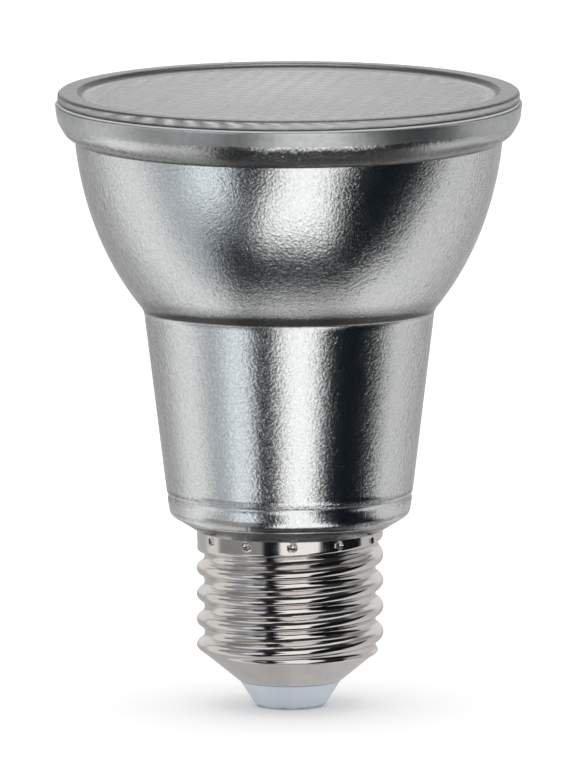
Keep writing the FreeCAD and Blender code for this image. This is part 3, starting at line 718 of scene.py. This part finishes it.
# How far the nearest staking punch has pushed the sheet in.
def dimpleDent(angle, height):
    gap = 2 * math.pi / cap["dimpleCount"]
    start = math.radians(cap["dimpleTurn"] - 90)
    away = (angle - start + gap / 2) % gap - gap / 2
    distance = math.hypot(away * collarRadius, height - (capTop - cap["dimpleDrop"]))
    share = distance / cap["dimpleRadius"]
    if share > 1 + cap["dimpleRing"]:
        return 0.0
    if share > 1:
        return -cap["dimpleRingRise"] * math.sin(math.pi * (share - 1) / cap["dimpleRing"])
    return cap["dimpleDepth"] * math.sqrt(max(1 - share ** 2, 0.0))


# Heights of the sheet's rows: far apart on the taper, close on the thread, closest at the collar.
def shellLevels(step):
    levels = [capLow.z + cap["lipRound"] * share for share in cap["lipRows"]]
    height = capLow.z + cap["lipRound"]
    while height < capTop - tiny:
        levels.append(height)
        if height > capTop - cap["collarRows"]:
            height += step * cap["collarStep"]
        elif height > cap["taperTop"] - cap["taperRows"]:
            height += step
        else:
            height += step * cap["taperStep"]
    levels.append(capTop)
    return levels


def capShell():
    around = cap["around"]
    outerLevels = shellLevels(cap["outerStep"])
    innerLevels = list(reversed(shellLevels(cap["innerStep"])))
    points = []
    loops = []
    slant = math.sqrt(1 + taperSlope ** 2)
    for inset, levels in ((0.0, outerLevels), (cap["sheet"], innerLevels)):
        for height in levels:
            loops.append(range(len(points), len(points) + around))
            share = ease(cap["taperTop"] - cap["taperBlend"], cap["taperTop"] + cap["taperBlend"], height)
            away = inset * (share + slant * (1 - share))
            lip = max(1 - (height - capLow.z) / cap["lipRound"], 0.0)
            if inset == 0.0:
                away = cap["lipRound"] * (1 - math.sqrt(1 - lip ** 2))
            for step in range(around):
                angle = 2 * math.pi * step / around
                radius = shellRadius(angle, height) - dimpleDent(angle, height) - away
                points.append((radius * math.cos(angle), radius * math.sin(angle), height))
    faces = []
    for low, high in zip(loops, loops[1:] + loops[:1]):
        faces.extend(facesBetween(low, high))
    finish = nickelMaterial("platedCap", nickel)
    return meshPiece("rolledCap", points, faces, [finish], None, cap["sharpAngle"])


nickel = {
    "colour": (0.74, 0.705, 0.68),
    "cloudScale": 350.0,
    "drift": 0.05,
    "roughness": 0.09,
    "scuffRoughness": 0.16,
    "scuffScale": 1200.0,
    "scuffRange": (0.4, 0.72),
    "waveScale": 260.0,
    "waveDepth": 0.006,
    "drawnScale": 900.0,
    "drawnStretch": (0.3, 0.3, 9.0),
    "drawnDepth": 0.0012,
}


def nickelMaterial(name, table):
    material, tree, shader = newMaterial(name)
    clouds = grain(tree, table["cloudScale"], detail=4.0)
    link(tree, varied(tree, table["colour"], clouds, table["drift"]), shader.inputs["Base Color"])
    shader.inputs["Metallic"].default_value = 1.0
    scuffs = grain(tree, table["scuffScale"], detail=5.0, roughness=0.6)
    gloss = list(zip(table["scuffRange"], (table["roughness"], table["scuffRoughness"])))
    link(tree, ramp(tree, scuffs, gloss), shader.inputs["Roughness"])
    wave = bump(tree, grain(tree, table["waveScale"]), table["waveDepth"])
    drawn = grain(tree, table["drawnScale"], detail=3.0, stretch=table["drawnStretch"])
    tree.links.new(bump(tree, drawn, table["drawnDepth"], 1.0, wave), shader.inputs["Normal"])
    return material


capPiece = capShell()
standsFor(capPiece, "cap_shell")
print("cap", len(capPiece.data.polygons))


# Insulator and centre contact
base = {
    "around": 160,
    "footRadius": 4.95,
    "footReach": 0.45,
    "recessReach": 0.06,
    "ledgeReach": 0.03,
    "rimReach": 0.2,
    "floorReach": 0.4,
    "recess": 0.45,
    "floor": 2.8,
    "pocketRadius": 8.2,
    "pocketSlant": 2.4,
    "rimGap": 0.08,
    "rivetRadius": 1.5,
    "fitGap": 0.05,
    "colour": (0.52, 0.575, 0.63),
    "cloudScale": 260.0,
    "drift": 0.04,
    "glossScale": 1500.0,
    "roughness": (0.3, 0.46),
    "grainScale": 1100.0,
    "grainDepth": 0.006,
    "glow": 0.25,
    "glowRadius": (0.8, 0.9, 1.0),
}


def insulatorMaterial():
    material, tree, shader = newMaterial("paleInsulator")
    clouds = grain(tree, base["cloudScale"], detail=4.0)
    link(tree, varied(tree, base["colour"], clouds, base["drift"]), shader.inputs["Base Color"])
    gloss = grain(tree, base["glossScale"], detail=3.0)
    link(tree, spread(tree, gloss, *base["roughness"]), shader.inputs["Roughness"])
    shader.inputs["Subsurface Weight"].default_value = base["glow"]
    shader.inputs["Subsurface Radius"].default_value = base["glowRadius"]
    shader.inputs["Subsurface Scale"].default_value = mm
    height = grain(tree, base["grainScale"], detail=3.0)
    tree.links.new(bump(tree, height, base["grainDepth"]), shader.inputs["Normal"])
    return material


def insulatorOutline():
    slant = math.sqrt(1 + taperSlope ** 2)
    inside = cap["lipRadius"] - (cap["sheet"] + base["rimGap"]) * slant
    flangeLow = capLow.z + (baseHigh.x - inside) / taperSlope
    floorTop = base["recess"] + base["floor"]
    return outlineOf([
        (base["rivetRadius"] + base["fitGap"], base["recess"], 0),
        (contactHigh.x + base["fitGap"], base["recess"], 0),
        (contactHigh.x + base["fitGap"], baseLow.z, base["recessReach"]),
        (base["footRadius"], baseLow.z, base["footReach"]),
        (cap["lipRadius"] - base["rimGap"], capLow.z, base["ledgeReach"]),
        (inside, capLow.z, 0),
        (baseHigh.x, flangeLow, 0),
        (baseHigh.x, baseHigh.z, base["rimReach"]),
        (base["pocketRadius"], baseHigh.z, base["rimReach"]),
        (base["pocketRadius"] - base["pocketSlant"], floorTop, base["floorReach"]),
        (base["rivetRadius"] + base["fitGap"], floorTop, 0),
    ])


basePiece = spun("mouldedInsulator", insulatorOutline(), base["around"], [insulatorMaterial()])
standsFor(basePiece, "cap_insulator")

contact = {
    "around": 128,
    "thickness": 0.45,
    "edgeReach": 0.16,
    "dishRadius": 1.35,
    "dishSlant": 0.25,
    "dishDepth": 0.12,
    "dishReach": 0.12,
    "rivetBore": 0.95,
    "headRadius": 2.3,
    "headSlant": 0.2,
    "headReach": 0.1,
}


def contactOutline():
    t = contact
    floorTop = base["recess"] + base["floor"]
    return outlineOf([
        (0.0, t["dishDepth"], 0),
        (t["dishRadius"] - t["dishSlant"], t["dishDepth"], t["dishReach"]),
        (t["dishRadius"], 0.0, t["dishReach"]),
        (contactHigh.x, 0.0, t["edgeReach"]),
        (contactHigh.x, t["thickness"], 0),
        (base["rivetRadius"], t["thickness"], 0),
        (base["rivetRadius"], floorTop, 0),
        (t["headRadius"], floorTop, t["headReach"]),
        (t["headRadius"] - t["headSlant"], contactHigh.z, t["headReach"]),
        (t["rivetBore"], contactHigh.z, t["headReach"]),
        (t["rivetBore"], t["thickness"], 0),
        (0.0, t["thickness"], 0),
    ])


contactPlate = dict(nickel, colour=(0.70, 0.68, 0.66), roughness=0.18, scuffRoughness=0.36, waveDepth=0.012)
contactFinish = nickelMaterial("scuffedContact", contactPlate)
contactPiece = spun("rivetedContact", contactOutline(), contact["around"], [contactFinish])
standsFor(contactPiece, "centre_contact")
print("base pieces")


# Inner pieces keep the frame's meshes and get finishes
grainPerCloud = 5  # how much finer the grain is than the colour's clouds
glossDrift = 0.2


# A moulded, painted or metal surface with fine grain, slow colour drift and uneven gloss.
def plainFinish(name, colour, roughness, scale, depth, drift=0.06, metallic=0.0):
    material, tree, shader = newMaterial(name)
    clouds = grain(tree, scale / grainPerCloud, detail=4.0)
    link(tree, varied(tree, colour, clouds, drift), shader.inputs["Base Color"])
    fine = grain(tree, scale, detail=3.0)
    gloss = spread(tree, fine, roughness * (1 - glossDrift), min(roughness * (1 + glossDrift), 1.0))
    link(tree, gloss, shader.inputs["Roughness"])
    shader.inputs["Metallic"].default_value = metallic
    tree.links.new(bump(tree, fine, depth), shader.inputs["Normal"])
    return material


# Each piece's finish: name, colour, roughness, grain scale and depth, colour drift, share of metal.
innerFinishes = {
    "heat_sink": ("castAluminium", (0.70, 0.71, 0.72), 0.38, 1400.0, 0.015, 0.05, 1.0),
    "thermal_pad": ("greyPad", (0.42, 0.48, 0.54), 0.75, 900.0, 0.01),
    "led_board": ("boardMask", (0.86, 0.87, 0.86), 0.32, 1800.0, 0.003, 0.02),
    "led_chips": ("chipPackage", (0.88, 0.88, 0.85), 0.4, 2500.0, 0.002, 0.03),
    "led_phosphor": ("yellowFill", (0.90, 0.66, 0.10), 0.3, 2500.0, 0.004, 0.08),
    "board_screws": ("zincScrew", (0.62, 0.62, 0.60), 0.3, 1500.0, 0.004, 0.08, 1.0),
    "driver_sleeve": ("sleevePlastic", (0.83, 0.83, 0.80), 0.5, 1100.0, 0.006, 0.03),
    "driver_board": ("greenBoard", (0.03, 0.20, 0.07), 0.35, 1600.0, 0.004, 0.1),
    "transformer_core": ("ferriteCore", (0.03, 0.03, 0.035), 0.6, 1400.0, 0.012, 0.15),
    "transformer_winding": ("windingTape", (0.85, 0.62, 0.06), 0.25, 700.0, 0.01, 0.06),
    "smoothing_capacitor": ("darkCanSleeve", (0.02, 0.03, 0.07), 0.25, 900.0, 0.004, 0.1),
    "output_capacitor": ("smallCanSleeve", (0.02, 0.03, 0.07), 0.25, 900.0, 0.004, 0.1),
    "film_capacitor": ("filmBox", (0.68, 0.40, 0.04), 0.35, 1200.0, 0.005, 0.06),
    "bridge_rectifier": ("blackMould", (0.02, 0.02, 0.02), 0.5, 1700.0, 0.006, 0.1),
    "driver_chip": ("chipMould", (0.02, 0.02, 0.02), 0.5, 1700.0, 0.006, 0.1),
    "fuse_resistor": ("greenLacquer", (0.10, 0.26, 0.18), 0.3, 1300.0, 0.008, 0.08),
    "led_lead_positive": ("redInsulation", (0.55, 0.02, 0.015), 0.35, 900.0, 0.004, 0.06),
    "led_lead_negative": ("blackInsulation", (0.015, 0.015, 0.015), 0.35, 900.0, 0.004, 0.1),
    "live_lead": ("liveInsulation", (0.55, 0.02, 0.015), 0.35, 900.0, 0.004, 0.06),
    "neutral_lead": ("whiteInsulation", (0.80, 0.80, 0.78), 0.35, 900.0, 0.004, 0.04),
}
for node, finish in innerFinishes.items():
    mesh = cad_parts[node].data
    mesh.materials.clear()
    mesh.materials.append(plainFinish(*finish))
print("inner pieces", len(innerFinishes))


# Floor: a pale sweep that catches the contact shadow
sweep = {
    "size": 30000.0,
    "drop": 0.02,
    "colour": (0.90, 0.90, 0.90),
    "cloudScale": 3.0,
    "drift": 0.005,
    "roughness": 0.9,
    "shine": 0.1,
}


def floorPiece():
    half = sweep["size"] * mm / 2
    low = -sweep["drop"] * mm
    mesh = bpy.data.meshes.new("floor")
    corners = [(-half, -half, low), (half, -half, low), (half, half, low), (-half, half, low)]
    mesh.from_pydata(corners, [], [(0, 1, 2, 3)])
    material, tree, shader = newMaterial("paleFloor")
    clouds = grain(tree, sweep["cloudScale"])
    link(tree, varied(tree, sweep["colour"], clouds, sweep["drift"]), shader.inputs["Base Color"])
    shader.inputs["Roughness"].default_value = sweep["roughness"]
    shader.inputs["Specular IOR Level"].default_value = sweep["shine"]
    mesh.materials.append(material)
    floor = bpy.data.objects.new("floor", mesh)
    bpy.context.scene.collection.objects.link(floor)
    floor.visible_glossy = False
    floor.visible_transmission = False


floorPiece()
print("floor")


# The studio that the silver and the nickel mirror, painted by direction: walls that change with
# height, and soft-edged cards in front of them. Azimuths run from the front of the bulb, positive to
# the right. A card's sides lean by lean degrees for each degree of height over leanFrom.
studio = {
    "plain": 1.4,
    "leanFrom": -22.0,
    "walls": [(-90, 0.66), (-81, 0.62), (-73, 0.38), (-66, 0.54), (-56, 0.74), (-40, 0.68), (-22, 0.64),
              (0, 0.60), (12, 0.56), (24, 0.28), (44, 0.28), (54, 0.90), (90, 0.90)],
    "cards": {
        "leftWall": {"across": (-128, -88), "up": (-68, 30), "soft": (8, 10), "colour": (0.80, 0.81, 0.80)},
        "leftBack": {"across": (-200, -126), "up": (-80, 0), "soft": (14, 12),
                     "colour": (0.50, 0.50, 0.50)},
        "rightBack": {"across": (140, 200), "up": (-80, 0), "soft": (20, 12), "colour": (0.56, 0.56, 0.56)},
        "backdrop": {"across": (135, 225), "up": (0, 50), "soft": (20, 10), "colour": (0.78, 0.78, 0.78)},
        "backdropLeft": {"across": (-225, -135), "up": (0, 50), "soft": (20, 10),
                         "colour": (0.78, 0.78, 0.78)},
        "blueShade": {"across": (-88, -20), "up": (-60, 4), "soft": (6, 8), "colour": (0.42, 0.45, 0.48)},
        "blueLight": {"across": (-62, -34), "up": (-30, -13), "soft": (8, 6), "colour": (0.88, 0.94, 1.0)},
        "leftShade": {"across": (-100, -20), "up": (-12, 8), "soft": (10, 5),
                      "colour": (0.28, 0.275, 0.275)},
        "lowShade": {"across": (-47, 125), "up": (-69, -39), "soft": (8, 6), "lean": (0.6, 1.9),
                     "colour": (0.02, 0.024, 0.03)},
        "leftStrip": {"across": (-34, 0), "up": (-60, 60), "soft": (4, 8), "colour": (0.006, 0.007, 0.012)},
        "rightFlag": {"across": (20, 92), "up": (-64, 10), "soft": (4, 8), "lean": (0.0, 0.6),
                      "colour": (0.003, 0.006, 0.009)},
        "cameraSide": {"across": (-45, 80), "up": (3, 46), "soft": (12, 8), "colour": (0.02, 0.02, 0.022)},
        "window": {"across": (-6, 27), "up": (-27, 5), "soft": (4, 5), "lean": (-0.5, 0.8),
                   "colour": (1.1, 1.1, 1.1)},
        "windowFoot": {"across": (-11, 29), "up": (-47, -26), "soft": (5, 7), "lean": (0.55, 0.0),
                       "colour": (1.15, 1.15, 1.15)},
    },
}


# 0 before an edge and 1 after it, over a soft width.
def rise(tree, value, edge, soft):
    limits = {"Value": value, "From Min": edge - soft / 2, "From Max": edge + soft / 2}
    return add(tree, "MapRange", limits, interpolation_type="SMOOTHSTEP").outputs["Result"]


# The azimuth that a leaning side is tested with.
def leant(tree, azimuth, elevation, lean):
    if lean == 0:
        return azimuth
    over = maths(tree, "SUBTRACT", elevation, studio["leanFrom"])
    return maths(tree, "SUBTRACT", azimuth, maths(tree, "MULTIPLY", over, lean))


# A card painted over the colour behind it.
def cardOver(tree, azimuth, elevation, under, card):
    leftLean, rightLean = card.get("lean", (0.0, 0.0))
    softAcross, softUp = card["soft"]
    inside = rise(tree, leant(tree, azimuth, elevation, leftLean), card["across"][0], softAcross)
    right = rise(tree, leant(tree, azimuth, elevation, rightLean), card["across"][1], softAcross)
    low = rise(tree, elevation, card["up"][0], softUp)
    high = rise(tree, elevation, card["up"][1], softUp)
    for mask in (low, maths(tree, "SUBTRACT", 1.0, right), maths(tree, "SUBTRACT", 1.0, high)):
        inside = maths(tree, "MULTIPLY", inside, mask)
    return mixed(tree, inside, under, (*card["colour"], 1.0))


def studioWorld():
    world = bpy.data.worlds.new("studio")
    bpy.context.scene.world = world
    world.use_nodes = True
    tree = world.node_tree
    background = next(node for node in tree.nodes if node.type == "BACKGROUND")
    direction = add(tree, "TexCoord").outputs["Generated"]
    parts = add(tree, "SeparateXYZ", {"Vector": direction}).outputs
    turn = maths(tree, "ARCTAN2", parts["X"], maths(tree, "MULTIPLY", parts["Y"], -1.0))
    azimuth = maths(tree, "DEGREES", turn)
    elevation = maths(tree, "DEGREES", maths(tree, "ARCSINE", parts["Z"]))
    share = maths(tree, "DIVIDE", maths(tree, "ADD", elevation, 90.0), 180.0)
    painted = ramp(tree, share, [((height + 90) / 180, grey) for height, grey in studio["walls"]])
    for card in studio["cards"].values():
        painted = cardOver(tree, azimuth, elevation, painted, card)
    path = add(tree, "LightPath").outputs
    mirrored = maths(tree, "MAXIMUM", path["Is Glossy Ray"], path["Is Transmission Ray"])
    plain = (studio["plain"], studio["plain"], studio["plain"], 1.0)
    tree.links.new(mixed(tree, mirrored, plain, painted), background.inputs["Color"])
    background.inputs["Strength"].default_value = 1.0


studioWorld()
print("studio")


# Camera. Its distance, sensor and far end are in its own units: metres, millimetres and metres.
view = {
    "distance": 3.0,
    "elevation": 8.4,
    "aimHeight": 45.2,
    "frameHeight": 108.2,
    "sensor": 36.0,
    "roll": 0.17,
    "farEnd": 100.0,
}


def viewCamera():
    camera = bpy.data.cameras.new("camera")
    camera.sensor_width = view["sensor"]
    camera.lens = view["sensor"] * view["distance"] / (view["frameHeight"] * mm)
    camera.clip_end = view["farEnd"]
    holder = bpy.data.objects.new("camera", camera)
    bpy.context.scene.collection.objects.link(holder)
    tilt = math.radians(view["elevation"])
    aim = Vector((0.0, 0.0, view["aimHeight"] * mm))
    away = Vector((0.0, -math.cos(tilt), math.sin(tilt)))
    holder.location = aim + away * view["distance"]
    turn = away.to_track_quat("Z", "Y").to_matrix()
    roll = math.radians(view["roll"])  # about the line of sight
    spin = Vector((math.sin(roll), math.cos(roll), 0.0))
    up = turn @ spin
    side = up.cross(away).normalized()
    up = away.cross(side)
    for column, axis in enumerate((side, up, away)):
        for row in range(3):
            turn[row][column] = axis[row]
    holder.rotation_euler = turn.to_euler()
    bpy.context.scene.camera = holder


viewCamera()
bpy.context.scene.view_settings.view_transform = "Standard"
print("camera")
